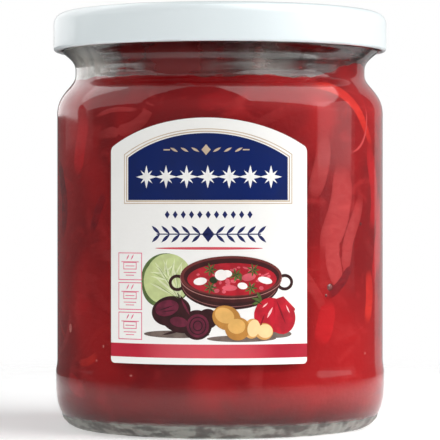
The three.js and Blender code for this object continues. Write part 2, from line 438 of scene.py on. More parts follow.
def film_material(settings):
    """Splashed broth on the glass over its level, thin, streaked and half dry, with painted shade
    and painted reflection.
    """
    material, finish = new_material("dried_film")
    place = finish.place()
    runs = finish.noise(finish.place((1, 1, 0.3)), 150.0, 4.0, 0.5)
    rings = finish.noise(finish.place((0.2, 0.2, 3)), 260.0, 2.0, 0.3)
    patches = finish.noise(finish.place((1, 1, 1.3)), 42.0, 2.0, 0.4)
    cover = finish.ramp(runs * 0.35 + rings * 0.3 + patches * 0.55, 0.52, 0.74)

    def near(middle, reach):
        """1 round a place and 0 out of its reach, with a ragged edge."""
        return finish.ramp(finish.distance(place, middle) + runs * 9e-3, reach, reach * 0.35)

    for middle, reach, share in SPLASHES:
        cover = finish.maths("MAXIMUM", cover, near(middle, reach) * share)
    # Painted reflection: near-white patches where the neck shows light.
    painted_reflection = 0
    for middle, reach, share in PAINTED_REFLECTIONS:
        painted_reflection = finish.maths("MAXIMUM", painted_reflection, near(middle, reach) * share)
    painted_reflection = painted_reflection * finish.ramp(runs, 0.3, 0.6, 0.55, 1)
    # The film's dark brown is partly real film and partly painted shade of the lid's dark inside
    # seen through the neck.
    stain = finish.mix(cover, settings.film, settings.splash)
    surface = finish.principled(
        {
            "Base Color": finish.mix(painted_reflection, stain, settings.painted_reflection),
            "Roughness": 0.35 + runs * 0.2,
            "Specular IOR Level": 0.2,
            "Alpha": finish.maths("MAXIMUM", 0.14 + rings * 0.2 + cover * 0.66, painted_reflection * 0.9),
        }
    )
    finish.output(surface)
    return material


def paper_material(settings):
    """Coated label paper: smooth, with a trace of fibre and a half-gloss varnish."""
    material, finish = new_material("label_paper")
    fibre = finish.noise(finish.place((1, 1, 2), (0, 0.5, 0)), 900.0, 4.0, 1.0)
    blotch = finish.noise(finish.place(), 110.0, 2.0)
    colour = finish.mix(fibre * 0.5 + blotch * 0.4, settings.paper, settings.paper_shade)
    surface = finish.principled(
        {
            "Base Color": colour,
            "Roughness": 0.36 + fibre * 0.1,
            "Specular IOR Level": 0.4,
            "Normal": finish.bump(fibre, 0.04, 1e-4),
        }
    )
    finish.output(surface)
    return material


LIT_CRIMSON = srgb(255, 120, 130)  # painted sheen: the colour the crimson band turns to round the label's middle


def ink_material(name, colour, painted_sheen=0.0, shade=0.86, grain=160.0):
    """Printed ink, slightly uneven as it lies on the paper; a painted sheen can make it lighter
    round the middle.
    """
    material, finish = new_material(name)
    place = finish.place()
    blotch = finish.noise(place, grain, 3.0)
    spots = finish.ramp(blotch, 0.35, 0.65)
    inked = finish.mix(spots, colour, [channel * shade for channel in colour[:3]] + [1])
    # Painted sheen: lighter round the label's middle, where the light falls on it.
    if painted_sheen:
        across = finish.part(place, "X") * (1 / LABEL_HALF)
        middle = finish.ramp(across * across, 0.5, 0.0) * painted_sheen
        inked = finish.mix(middle, inked, LIT_CRIMSON)
    varnish = {"Roughness": 0.27 + blotch * 0.1, "Specular IOR Level": 0.35}
    finish.output(finish.principled({"Base Color": inked, **varnish}))
    return material


# Shapes.


class Outline:
    """A profile of points across and up, drawn from one to the next."""

    def __init__(self, across, up):
        self.points = [(across, up)]

    def line(self, across, up):
        self.points.append((across, up))

    def rows(self, across, up, count):
        """Evenly spaced points straight up to a height."""
        start = self.points[-1][1]
        for row in range(1, count + 1):
            self.line(across, start + (up - start) * row / count)

    def curve(self, first, second, end, steps):
        """A curve to end, with a handle at each end."""
        knots = [Vector((*point, 0)) for point in (self.points[-1], first, second, end)]
        self.points += [tuple(p)[:2] for p in interpolate_bezier(*knots, steps + 1)[1:]]

    def arc(self, centre, radii, start, end, steps):
        """Part of an ellipse, by its start and end angle."""
        for step in range(steps + 1):
            angle = start + (end - start) * step / steps
            self.line(centre[0] + radii[0] * cos(angle), centre[1] + radii[1] * sin(angle))


def spun(points, segments):
    """A bmesh of a profile turned once round the Z axis."""
    bm = bmesh.new()
    verts = [bm.verts.new((across, 0, up)) for across, up in points]
    edges = [bm.edges.new(pair) for pair in zip(verts, verts[1:])]
    bmesh.ops.spin(
        bm,
        geom=verts + edges,
        cent=(0, 0, 0),
        axis=(0, 0, 1),
        angle=tau,
        steps=segments,
        use_merge=True,
    )
    bmesh.ops.remove_doubles(bm, verts=bm.verts, dist=WELD)
    bmesh.ops.recalc_face_normals(bm, faces=bm.faces)
    return bm


def bevel(bm, geometry, offset, affect, segments):
    """Rounds edges or corners."""
    bmesh.ops.bevel(
        bm,
        geom=geometry,
        offset=offset,
        offset_type="OFFSET",
        affect=affect,
        segments=segments,
        profile=0.5,
        material=-1,
    )


def move_out(vert, distance):
    """Moves a point away from the jar's axis."""
    radius = hypot(vert.co.x, vert.co.y)
    share = (radius + distance) / radius
    vert.co.x *= share
    vert.co.y *= share


def mesh_of(name, bm):
    """The mesh of a bmesh, which is then gone."""
    mesh = bpy.data.meshes.new(name)
    bm.to_mesh(mesh)
    bm.free()
    return mesh


def place_object(name, data):
    """A new object in the scene, at the origin."""
    thing = bpy.data.objects.new(name, data)
    bpy.context.scene.collection.objects.link(thing)
    return thing


def make_piece(name, bm, material, slot, *nodes):
    """Makes the finished object of a bmesh. It rides with the jar and may stand for CAD nodes."""
    mesh = mesh_of(name, bm)
    mesh.shade_smooth()
    mesh.set_sharp_from_angle(angle=SHARP_ANGLE)
    mesh.materials.append(material)
    piece = place_object(name, mesh)
    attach(piece, BODY)
    if nodes:
        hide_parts(*nodes)


# Jar.


def bore_radius(height):
    """Radius inside the jar at a height over the shoulder of its bore."""
    neck = BORE_R + (NECK_BORE_R - BORE_R) * smooth_step(height, *BORE_SHOULDER_Z)
    return neck + (MOUTH_R - neck) * smooth_step(height, *MOUTH_Z)


def bore_outline(bite=0.0):
    """The inside wall from the middle of the floor up to the shoulder, set into the glass."""
    edge_r, edge_z = FLOOR_EDGE
    wall = BORE_R + bite
    floor, edge_z = FLOOR_Z - bite, edge_z - bite
    outline = Outline(0, floor)
    outline.curve(
        (edge_r / 2, floor), (edge_r - FLOOR_HANDLE, edge_z), (edge_r, edge_z), steps=14
    )
    outline.curve(
        (edge_r + FLOOR_HANDLE + bite, edge_z),
        (wall, BORE_HEEL_Z - BORE_HEEL_HANDLE - bite),
        (wall, BORE_HEEL_Z),
        steps=14,
    )
    outline.rows(wall, BORE_SHOULDER_Z[0], count=24)
    return outline


def jar_outline():
    """The glass from the middle of its foot up the outside, over the rim and down the inside."""
    foot = FOOT_R - FOOT_WIDTH
    handle_in, handle_up = PUSH_UP_HANDLE
    outline = Outline(0, PUSH_UP)
    outline.curve((FOOT_R / 2, PUSH_UP), (foot - handle_in, handle_up), (foot, 0), steps=16)
    outline.line(FOOT_R, 0)
    low, high = BODY_Z
    outline.arc((FOOT_R, low), (BODY_R - FOOT_R, low), -pi / 2, 0, steps=28)
    outline.line(BODY_R, high)
    ease = (PANEL_BOTTOM - high) / 2
    outline.curve(
        (BODY_R, high + ease), (PANEL_R, high + ease), (PANEL_R, PANEL_BOTTOM), steps=8
    )
    outline.rows(PANEL_R, SHOULDER_Z, count=16)
    up, down = SHOULDER_HANDLES
    low, high = WAIST_Z
    outline.curve((PANEL_R, SHOULDER_Z + up), (WAIST_R, low - down), (WAIST_R, low), steps=26)
    outline.line(WAIST_R, high)
    up, back = FLARE_HANDLES
    bead = (BEAD_R, BEAD_Z)
    outline.curve((WAIST_R, high + up), (BEAD_R - back, BEAD_Z - back), bead, steps=14)
    top = BEAD_Z + BEAD_TOP
    ease = BEAD_TOP / 2
    outline.curve((BEAD_R, BEAD_Z + ease), (FINISH_R + ease, top), (FINISH_R, top), steps=6)
    rim = (FINISH_R - MOUTH_R) / 2
    outline.rows(FINISH_R, RIM_Z - rim, count=26)
    outline.arc((MOUTH_R + rim, RIM_Z - rim), (rim, rim), 0, pi, steps=12)
    low, high = BORE_SHOULDER_Z[0], RIM_Z - rim
    for row in range(1, NECK_ROWS):
        height = high + (low - high) * row / NECK_ROWS
        outline.line(bore_radius(height), height)
    outline.points += reversed(bore_outline().points)
    return outline.points


def rib_height(angle, height):
    """How far a thread rib stands out of the finish at a place."""
    share = (angle % (tau / LUGS)) / RIB_ANGLE
    if share > 1:
        return 0
    middle = RIB_Z + RIB_HEIGHT / 2 + RIB_RISE * share
    across = (height - middle) / (RIB_HEIGHT / 2)
    ends = smooth_step(min(share, 1 - share), 0, RIB_TAPER)
    return (RIB_R - FINISH_R) * ends * max(0, 1 - across * across) ** RIB_ROUNDNESS


def knurl_height(angle, height, knurls):
    """How far a slanted bar of the foot's grip stands out of the heel at a place."""
    low, high = KNURL_Z
    window = smooth_step(height, 0, low) * (1 - smooth_step(height, high * KNURL_FADE, high))
    return KNURL_DEPTH * window * max(0, sin(knurls * angle + KNURL_SLANT * height))


def build_glass(settings):
    bm = spun(jar_outline(), 4 * settings.knurls)
    finish_low, finish_high = BEAD_Z + BEAD_TOP, RIM_Z - (FINISH_R - MOUTH_R) / 2
    for vert in bm.verts:
        radius = hypot(vert.co.x, vert.co.y)
        angle = atan2(vert.co.y, vert.co.x) % tau
        if finish_low < vert.co.z < finish_high and radius > (FINISH_R + MOUTH_R) / 2:
            move_out(vert, rib_height(angle, vert.co.z))
        elif vert.co.z < KNURL_Z[1] and radius > FOOT_R:
            move_out(vert, knurl_height(angle, vert.co.z, settings.knurls))
    make_piece("jar_glass", bm, glass_material(settings), "jar_glass", "jar")


# Lid.


def lid_outline():
    """The lid's sheet, from the middle of its underside out, round the curl and back on top."""
    skirt = LID_R - SHEET
    corner = (LID_R - LID_CORNER, LID_TOP - LID_CORNER)
    top = LID_TOP - PANEL_DROP
    outline = Outline(0, top - SHEET + BUTTON_RISE)
    panel_profile(outline, top - SHEET, LID_TOP - SHEET, RING_R - RING_EDGE)
    outline.arc(corner, (LID_CORNER - SHEET,) * 2, pi / 2, 0, steps=12)
    outline.line(skirt, LID_BOTTOM + 2 * CURL_R + CURL_LIP)
    curl = (LID_R - CURL_R, LID_BOTTOM + CURL_R)
    outline.arc(curl, (CURL_R, CURL_R), pi / 2, tau, steps=20)
    outline.arc(corner, (LID_CORNER, LID_CORNER), 0, pi / 2, steps=16)
    back = Outline(0, top + BUTTON_RISE)
    panel_profile(back, top, LID_TOP, RING_R)
    outline.points += reversed(back.points)
    return outline.points


def panel_profile(outline, panel, ring, ring_r):
    """The safety button, the flat panel and the step up to the ring."""
    low_r = BUTTON_R - BUTTON_SLOPE
    ease = BUTTON_SLOPE / 2
    high = panel + BUTTON_RISE
    outline.line(low_r / 2, high)
    outline.line(low_r, high)
    outline.curve((low_r + ease, high), (BUTTON_R - ease, panel), (BUTTON_R, panel), steps=8)
    flat = ring_r - 2 * PANEL_DROP - BUTTON_R
    for share in (0.25, 0.5, 0.75, 1):
        outline.line(BUTTON_R + flat * share, panel)
    edge = ring_r - PANEL_DROP
    outline.curve((edge, panel), (edge, ring), (ring_r, ring), steps=10)


def build_lid(settings):
    bm = spun(lid_outline(), FINE_SEGMENTS)
    curl_inside = LID_R - 2 * CURL_R
    for vert in bm.verts:
        if vert.co.z > LID_BOTTOM + 2 * CURL_R + CURL_LIP:
            continue
        radius = hypot(vert.co.x, vert.co.y)
        turn = (atan2(vert.co.y, vert.co.x) - LUG_OFFSET) % (tau / LUGS)
        share = turn / LUG_ANGLE
        if share < 1:
            pinch = smooth_step(min(share, 1 - share), 0, LUG_TAPER)
            inner = min(1, max(0, (LID_R - radius) / (2 * CURL_R)))
            move_out(vert, (LUG_R - curl_inside) * pinch * inner)
    make_piece("lid_shell", bm, enamel_material(settings), "lid_enamel", "lid")


# Contents.


def surface_height(x, y):
    """Height of the contents' uneven top over a point."""
    away = hypot(x - MOUND_CENTRE[0], y - MOUND_CENTRE[1]) / MOUND_SPREAD
    wave_x, wave_y, skew, start = LUMP_WAVES
    lumps = LUMP_HEIGHT * sin(x * wave_x + start) * cos(y * wave_y - x * skew)
    fine = sum(
        share * noise.noise(Vector((x, y, 9 * layer)) * rate)
        for layer, (rate, share) in enumerate(RELIEF_WAVES)
    )
    return LEVEL_Z + MOUND_HEIGHT * exp(-away * away) + lumps + RELIEF * fine


def build_broth(settings):
    wall, shoulder = NECK_BORE_R + WALL_BITE, BORE_SHOULDER_Z[0]
    outline = bore_outline(WALL_BITE)
    outline.rows(wall, LEVEL_Z, count=16)
    for ring in range(TOP_RINGS - 1, -1, -1):
        outline.line(wall * ring / TOP_RINGS, LEVEL_Z)
    bm = spun(outline.points, FINE_SEGMENTS)
    for vert in bm.verts:
        if vert.co.z <= shoulder + WELD:
            continue
        # Points over the shoulder move up towards the uneven top, and out to the wall.
        x, y, height = vert.co
        climb = (height - shoulder) / (LEVEL_Z - shoulder)
        height = shoulder + (surface_height(x, y) - shoulder) * climb
        spread = (bore_radius(height) + WALL_BITE) / wall
        vert.co = (x * spread, y * spread, height)
    make_piece("borscht_body", bm, broth_material(settings), "borscht", "borscht")


class Wall:
    """The contents' outer surface against the glass."""

    def __init__(self):
        self.rows = [(z, r) for r, z in bore_outline(WALL_BITE).points if r > FLOOR_EDGE[0]]

    def radius(self, height):
        if height >= BORE_SHOULDER_Z[0]:
            return bore_radius(height) + WALL_BITE
        for (low, inner), (high, outer) in zip(self.rows, self.rows[1:]):
            if height <= high:
                return inner + (outer - inner) * max(0, height - low) / max(WELD, high - low)
        return BORE_R + WALL_BITE


def edges_along(bm, axis, shortest):
    """The edges that run at least a length along one of the axes."""
    return [
        edge for edge in bm.edges if abs(edge.verts[0].co[axis] - edge.verts[1].co[axis]) > shortest
    ]


def strip_mesh(cuts):
    """A soft-edged bar, one unit long, wide and thick, as a mesh to be laid out many times."""
    bm = bmesh.new()
    bmesh.ops.create_cube(bm, size=1)
    bevel(bm, edges_along(bm, 0, 0.5), STRIP_ROUNDING, "EDGES", segments=2)
    for axis, shortest, count in ((0, 0.5, cuts), (1, 0.4, 3)):
        edges = edges_along(bm, axis, shortest)
        bmesh.ops.subdivide_edges(bm, edges=edges, cuts=count, use_grid_fill=True)
    return mesh_of("strip", bm)


SHRED_Z = (9e-3, 86.5e-3)  # heights between which vegetables touch the glass
FULL_PROUD = 0.05e-3  # how far a strip stands out of the broth where it shows fully
STRIP_ROUNDING = 0.28  # of its long edges, as a share of its width
STRIP_TAPER, TAPER_POWER = 0.7, 4  # share it narrows by at its ends, and how late that starts
DIP_POWER = 3  # how late its outer face starts to dip at its ends
SHRED_SEED = 100
# The ranges that a strip's own numbers are drawn from.
STRIP_SIZES = (0.7, 1.3)  # shares of its kind's length and width
STRIP_THICKNESSES = (0.8, 1.2)  # shares of its kind's thickness
STRIP_CURL = 22  # spread of its curl, in radians to the metre
STRIP_WAVE = ((0.1, 0.5), (120, 320), (0, tau))  # swing of its heading, its rate and its start
STRIP_PROUD = (0.015e-3, 0.06e-3)  # how far it stands out of the broth
STRIP_SINK = ((0, 0.12e-3), (60, 160), (0, tau))  # depth of its hollows, their rate and start
STRIP_CLEAR = (0.05, 0.5)
# What a strip in a chosen place has instead.
PLACED_PROUD = 0.07e-3
PLACED_SINK = (0.02e-3, 100, 0)
SHRED_KINDS = (
    # name, colour, count, length width and thickness, spread of headings, and chosen places:
    # angle, height, length, width, heading, curl and clearness
    (
        "cabbage_shreds",
        "cabbage",
        "cabbage_count",
        (26e-3, 5e-3, 1.3e-3),
        0.8,
        (
            (51, 56e-3, 26e-3, 14e-3, 75, 5, 0.55),
            (47, 46e-3, 22e-3, 9e-3, 95, -12, 0.55),
            (57, 50e-3, 24e-3, 7e-3, 84, 8, 0.5),
            (42, 66e-3, 18e-3, 8e-3, 100, 8, 0.45),
            (66, 74e-3, 17e-3, 1.2e-3, 60, 90, 0.9),
            (-34, 80e-3, 15e-3, 2e-3, 10, 30, 0.5),
        ),
    ),
    (
        "beet_strips",
        "beet",
        "beet_count",
        (20e-3, 4.5e-3, 2.6e-3),
        1.2,
        (
            (-68, 60e-3, 24e-3, 9e-3, 95, 0, 0.9),
            (-43, 55e-3, 12e-3, 5e-3, 60, 20, 0.8),
            (52, 38e-3, 14e-3, 5e-3, 30, 20, 0.8),
        ),
    ),
    (
        "carrot_strips",
        "carrot",
        "carrot_count",
        (16e-3, 3.4e-3, 2.2e-3),
        0.9,
        (
            (60, 81e-3, 29e-3, 5e-3, -32, -26, 1),
            (70, 34e-3, 15e-3, 8e-3, 75, 10, 1),
            (-48, 18e-3, 9e-3, 4e-3, 20, 20, 0.7),
        ),
    ),
    (
        "pepper_pieces",
        "pepper",
        "pepper_count",
        (14e-3, 8e-3, 1.6e-3),
        1.2,
        (
            (44, 28e-3, 12e-3, 10e-3, 80, 10, 0.8),
            (-53, 72e-3, 17e-3, 9e-3, 70, 10, 0.75),
            (74, 62e-3, 24e-3, 9e-3, 90, 6, 0.7),
            (80, 50e-3, 24e-3, 9e-3, 92, 0, 0.7),
            (76, 44e-3, 16e-3, 6e-3, 85, -6, 0.8),
        ),
    ),
)


class Shred:
    """One strip of vegetable, curling along the glass."""

    def __init__(self, rng, size, heading):
        length, width, thickness = size
        self.length = length * rng.uniform(*STRIP_SIZES)
        self.width = width * rng.uniform(*STRIP_SIZES)
        self.thickness = thickness * rng.uniform(*STRIP_THICKNESSES)
        self.angle = rng.uniform(0, tau)
        self.height = rng.uniform(*SHRED_Z)
        self.heading = rng.gauss(0, heading) + rng.choice((0, pi))
        self.curl = rng.gauss(0, STRIP_CURL)
        self.wave = [rng.uniform(*span) for span in STRIP_WAVE]
        self.proud = rng.uniform(*STRIP_PROUD)
        self.sink = [rng.uniform(*span) for span in STRIP_SINK]
        self.clear = rng.uniform(*STRIP_CLEAR)

    def placed(self, angle, height, length, width, heading, curl, clear):
        """Puts the strip in a chosen place. Angles are in degrees, 0 at the label's middle."""
        self.angle, self.heading = radians(angle - 90), radians(heading)
        self.height, self.length, self.width = height, length, width
        self.curl, self.clear = curl, clear
        self.proud, self.sink = PLACED_PROUD, PLACED_SINK
        return self

    def path(self, share):
        """Place along the middle line: across and up from the strip's centre, and heading."""
        size, rate, start = self.wave
        along = share * self.length
        heading = self.heading + self.curl * along + size * sin(rate * along + start)
        middle = self.heading + self.curl * along / 2 + size * sin(rate * along / 2 + start)
        return along * cos(middle), along * sin(middle), heading


def lay_on_glass(bm, mesh, shred, wall):
    """Adds a strip to bm, bent along the glass with its outer face just in it."""
    first = len(bm.verts)
    bm.from_mesh(mesh)
    bm.verts.ensure_lookup_table()
    layer = bm.verts.layers.float["clearness"]
    sink_size, sink_rate, sink_start = shred.sink
    for vert in bm.verts[first:]:
        along, across, depth = vert.co
        taper = 1 - abs(2 * along) ** TAPER_POWER * STRIP_TAPER
        right, up, heading = shred.path(along)
        offset = across * shred.width * taper
        right -= offset * sin(heading)
        up += offset * cos(heading)
        height = min(max(shred.height + up, SHRED_Z[0]), SHRED_Z[1])
        crown = 1 - (2 * across) ** 2
        sink = sink_size * (1 + sin(sink_rate * along * shred.length + sink_start)) / 2
        proud = shred.proud * (1 - abs(2 * along) ** DIP_POWER) - sink
        outer = proud * crown if depth > 0 else proud
        radius = wall.radius(height) + outer + (depth - 0.5) * shred.thickness * taper
        turn = shred.angle + right / BORE_R
        vert.co = (radius * cos(turn), radius * sin(turn), height)
        shown = max(0, outer) / FULL_PROUD if depth > 0.45 else 0
        vert[layer] = shred.clear * smooth_step(shown, 0, 1)


def build_shreds(settings):
    """All vegetables of a kind are one joined piece."""
    wall = Wall()
    strip = strip_mesh(settings.strip_cuts)
    for number, (name, colour, count, size, heading, placed) in enumerate(SHRED_KINDS):
        rng = random.Random(SHRED_SEED + number)
        bm = bmesh.new()
        bm.verts.layers.float.new("clearness")
        for _ in range(getattr(settings, count)):
            lay_on_glass(bm, strip, Shred(rng, size, heading), wall)
        for place in placed:
            lay_on_glass(bm, strip, Shred(rng, size, heading).placed(*place), wall)
        bmesh.ops.recalc_face_normals(bm, faces=bm.faces)
        make_piece(name, bm, shred_material(name, getattr(settings, colour), settings), "borscht")
    bpy.data.meshes.remove(strip)


# Beads and crumbs against the glass: angle, height over the floor, width and height of each.
BUBBLES = (
    (46, 36.6e-3, 2.1e-3, 2e-3),
    (44.2, 34.6e-3, 0.9e-3, 0.9e-3),
    (63, 52e-3, 0.8e-3, 0.9e-3),
)
CRUMBS = (
    (-61, 26e-3, 2e-3, 2.9e-3),
    (-43.5, 18.4e-3, 0.8e-3, 0.7e-3),
    (-40, 22e-3, 0.6e-3, 0.9e-3),
)
CRUMB_SEED = 7
CRUMB_ANGLES, CRUMB_Z, CRUMB_SIZES = (20, 340), (12e-3, 78e-3), (0.4e-3, 1e-3)
BUBBLE_DEPTH, BUBBLE_PROUD = 0.25e-3, 0.16e-3
CRUMB_DEPTH, CRUMB_PROUD = 0.2e-3, 0.08e-3


def add_beads(bm, beads, thickness, proud):
    """Flattened beads against the glass."""
    for angle, height, width, tall in beads:
        turn = radians(angle - 90)
        radius = BORE_R + WALL_BITE + proud - thickness
        place = (
            Matrix.Rotation(turn, 4, "Z")
            @ Matrix.Translation((radius, 0, height))
            @ Matrix.Diagonal((thickness, width / 2, tall / 2, 1))
        )
        bmesh.ops.create_uvsphere(bm, u_segments=20, v_segments=12, radius=1, matrix=place)


def build_specks(settings):
    """Air bubbles and pale crumbs caught between the contents and the glass."""
    bm = bmesh.new()
    add_beads(bm, BUBBLES, BUBBLE_DEPTH, BUBBLE_PROUD)
    make_piece("air_bubbles", bm, bubble_material(settings), "borscht")
    rng = random.Random(CRUMB_SEED)
    crumbs = [
        [rng.uniform(*span) for span in (CRUMB_ANGLES, CRUMB_Z, CRUMB_SIZES, CRUMB_SIZES)]
        for _ in range(settings.crumb_count)
    ]
    bm = bmesh.new()
    add_beads(bm, (*CRUMBS, *crumbs), CRUMB_DEPTH, CRUMB_PROUD)
    make_piece("pale_crumbs", bm, speck_material(settings), "borscht")


def build_film(settings):
    """Film on the glass of the neck, from the level up into the lid."""
    low, high = FILM_Z
    heights = [low + (high - low) * row / FILM_ROWS for row in range(FILM_ROWS + 1)]
    outline = Outline(bore_radius(low) - FILM_IN, low)
    for height in heights:
        outline.line(bore_radius(height) + FILM_OUT, height)
    for height in reversed(heights):
        outline.line(bore_radius(height) - FILM_IN, height)
    bm = spun(outline.points, FINE_SEGMENTS)
    make_piece("neck_film", bm, film_material(settings), "borscht")


# Label.


def ellipse(bm, centre, radii, turn=0.0, segments=48):
    """A filled ellipse on the flat label. Four segments make a diamond."""
    place = Matrix.Translation((centre[0], 0, centre[1])) @ Matrix.Rotation(-turn, 4, "Y")
    place = place @ Matrix.Rotation(pi / 2, 4, "X") @ Matrix.Diagonal((radii[0], radii[1], 1, 1))
    made = bmesh.ops.create_circle(bm, cap_ends=True, radius=1, segments=segments, matrix=place)
    return made["verts"]


def polygon(bm, points):
    verts = [bm.verts.new((across, 0, up)) for across, up in points]
    bm.faces.new(verts).normal_update()
    return verts


def rectangle(bm, low, high):
    return polygon(bm, [low, (high[0], low[1]), high, (low[0], high[1])])


def arched_plate(bm, half, bottom, shoulder, top):
    """A flat plate with straight sides and an arched top: a disc with three sides cut off."""
    rise = top - shoulder
    arch = (half * half + rise * rise) / (2 * rise)
    ellipse(bm, (0, top - arch), (arch, arch), segments=320)
    cuts = (((half, 0, 0), (1, 0, 0)), ((-half, 0, 0), (-1, 0, 0)), ((0, 0, bottom), (0, 0, -1)))
    for place, direction in cuts:
        geometry = bm.verts[:] + bm.edges[:] + bm.faces[:]
        bmesh.ops.bisect_plane(
            bm, geom=geometry, dist=WELD, plane_co=place, plane_no=direction, clear_outer=True
        )


def hollow(bm, faces, width):
    """Leaves only a border of a width of each face."""
    bmesh.ops.inset_individual(bm, faces=faces, thickness=width, use_even_offset=True)
    bmesh.ops.delete(bm, geom=faces, context="FACES")


def bend_round_jar(bm, depth, thickness):
    """Cuts a flat shape into narrow strips, gives it thickness and bends it round the glass."""
    spots = [vert.co.x for vert in bm.verts]
    first, last = round(min(spots) / BEND_STEP), round(max(spots) / BEND_STEP)
    for cut in range(first, last + 1):
        bmesh.ops.bisect_plane(
            bm,
            geom=bm.verts[:] + bm.edges[:] + bm.faces[:],
            dist=WELD,
            plane_co=((cut + 0.5) * BEND_STEP, 0, 0),
            plane_no=(1, 0, 0),
        )
    raised = bmesh.ops.extrude_face_region(bm, geom=bm.faces[:])["geom"]
    verts = [item for item in raised if isinstance(item, bmesh.types.BMVert)]
    bmesh.ops.translate(bm, verts=verts, vec=(0, -thickness, 0))
    for vert in bm.verts:
        radius = PANEL_R + depth - vert.co.y
        angle = vert.co.x / PANEL_R
        vert.co.x, vert.co.y = radius * sin(angle), -radius * cos(angle)
    bmesh.ops.recalc_face_normals(bm, faces=bm.faces)


def make_print(name, bm, layer, material):
    """An inked shape, on one of the thin layers over the label's paper."""
    depth = LABEL_GAP + LABEL_THICKNESS + (layer - INK_REACH) * INK_THICKNESS
    bend_round_jar(bm, depth, INK_REACH * INK_THICKNESS)
    make_piece(name, bm, material, "label_paper")


def build_label(settings):
    bm = bmesh.new()
    arched_plate(bm, LABEL_HALF, LABEL_BOTTOM, LABEL_SHOULDER, LABEL_TOP)
    edge = LABEL_HALF - WELD
    corners = [
        vert
        for vert in bm.verts
        if abs(vert.co.x) > edge
        and (abs(vert.co.z - LABEL_BOTTOM) < WELD or abs(vert.co.z - LABEL_SHOULDER) < 10 * WELD)
    ]
    bevel(bm, corners, LABEL_CORNER, "VERTICES", segments=5)
    bend_round_jar(bm, LABEL_GAP, LABEL_THICKNESS)
    make_piece("label_sheet", bm, paper_material(settings), "label_paper", "label")


LEAF_ROUNDING = 0.28  # share of a leaf's length that its side corners are rounded by


def leaf(bm, centre, length, width, turn):
    """A pointed leaf: a diamond with its side corners rounded."""
    verts = ellipse(bm, centre, (length / 2, width / 2), turn, segments=4)
    middle = Vector((centre[0], 0, centre[1]))
    sides = sorted(verts, key=lambda vert: (vert.co - middle).length)[:2]
    bevel(bm, sides, length * LEAF_ROUNDING, "VERTICES", segments=5)


# Printed fields. A plate is its half width, bottom, shoulder and top; a line also has its width.
FIELD = (20e-3, 57.9e-3, 68.2e-3, 74e-3)
FRAME_LINES = (
    (21.2e-3, 57e-3, 69e-3, 75.1e-3, 0.22e-3),
    (20.6e-3, 57.5e-3, 68.5e-3, 74.55e-3, 0.3e-3),
)
STAR_ROW = (0.4e-3, 63.5e-3)  # middle of the row of stars
STAR_STEP = 5.1e-3
STAR_POINTS = (
    # turn in degrees, length and width of each of its leaves
    (0, 5.6e-3, 1.5e-3),
    (90, 5.6e-3, 1.5e-3),
    (45, 4.4e-3, 1e-3),
    (-45, 4.4e-3, 1e-3),
)
SPRIG_Z = 70e-3
SPRIG_STEP = 2.6e-3
SPRIG_LEAF = (2.2e-3, 0.8e-3, 0.5)  # length, width and turn in radians
SPRIG_BAR = (9.6e-3, 0.8e-3, 0.15e-3)  # distance from the middle, half length and half height
SPRIG_BUD = (1.1e-3, 1.3e-3)
BEAD_ROW = (0.5e-3, 54.4e-3)  # middle of the row, as for the vine and the rule
BEAD_STEP = 2e-3
PRINTED_BEAD = (0.62e-3, 0.95e-3)
VINE = (0.5e-3, 49.7e-3)
VINE_HALF = (12.7e-3, 0.14e-3)
VINE_BUD = (1.5e-3, 1.9e-3)
VINE_START, VINE_STEP, VINE_RISE = 2.9e-3, 2.5e-3, 1e-3
VINE_LEAF = (3e-3, 1.1e-3, 0.75)  # length, width and turn in radians
RULE = (0.55e-3, 46.3e-3)
RULE_HALF = (13.15e-3, 0.32e-3)
BAND_Z = (19.9e-3, 23.2e-3)


def bar(bm, centre, half):
    """A rectangle by its middle and half its size."""
    low, high = [[c + side * h for c, h in zip(centre, half)] for side in (-1, 1)]
    rectangle(bm, low, high)


def build_fields(settings):
    """The label's flat fields and lines, and plain ornaments where a name would stand."""
    blue, gold = ink_material("blue_ink", settings.blue), ink_material("gold_ink", settings.gold)
    white = ink_material("white_ink", settings.paper)
    navy = ink_material("navy_ink", settings.navy)
    # The crimson band gets a painted sheen round the label's middle.
    crimson = ink_material("crimson_ink", settings.crimson, 0.35)

    bm = bmesh.new()
    arched_plate(bm, *FIELD)
    make_print("print_blue_field", bm, 1, blue)

    bm = bmesh.new()
    for *plate, width in FRAME_LINES:
        ring = bmesh.new()
        arched_plate(ring, *plate)
        hollow(ring, ring.faces[:], width)
        mesh = mesh_of("ring", ring)
        bm.from_mesh(mesh)
        bpy.data.meshes.remove(mesh)
    make_print("print_frame_lines", bm, 1, gold)

    bm = bmesh.new()
    middle, height = STAR_ROW
    for step in range(-3, 4):
        for turn, length, width in STAR_POINTS:
            leaf(bm, (middle + step * STAR_STEP, height), length, width, radians(turn))
    make_print("print_white_stars", bm, 2, white)

    bm = bmesh.new()
    length, width, turn = SPRIG_LEAF
    end, *half = SPRIG_BAR
    for side in (-1, 1):
        for step in range(1, 4):
            leaf(bm, (side * step * SPRIG_STEP, SPRIG_Z), length, width, side * turn)
        bar(bm, (side * end, SPRIG_Z), half)
    ellipse(bm, (0, SPRIG_Z), SPRIG_BUD, segments=4)
    make_print("print_gold_sprig", bm, 2, gold)

    bm = bmesh.new()
    middle, height = BEAD_ROW
    for step in range(-5, 6):
        ellipse(bm, (middle + step * BEAD_STEP, height), PRINTED_BEAD, segments=4)
    middle, height = VINE
    length, width, turn = VINE_LEAF
    for side in (-1, 1):
        for step in range(5):
            across = middle + side * (VINE_START + step * VINE_STEP)
            for up in (1, -1):
                leaf(bm, (across, height + up * VINE_RISE), length, width, up * side * turn)
    bar(bm, VINE, VINE_HALF)
    ellipse(bm, VINE, VINE_BUD, segments=4)
    make_print("print_navy_vine", bm, 1, navy)

    bm = bmesh.new()
    ellipse(bm, RULE, RULE_HALF)
    rectangle(bm, (-LABEL_HALF, BAND_Z[0]), (LABEL_HALF, BAND_Z[1]))
    make_print("print_crimson_band", bm, 1, crimson)


# Picture on the label: a pot of borscht with vegetables round it.


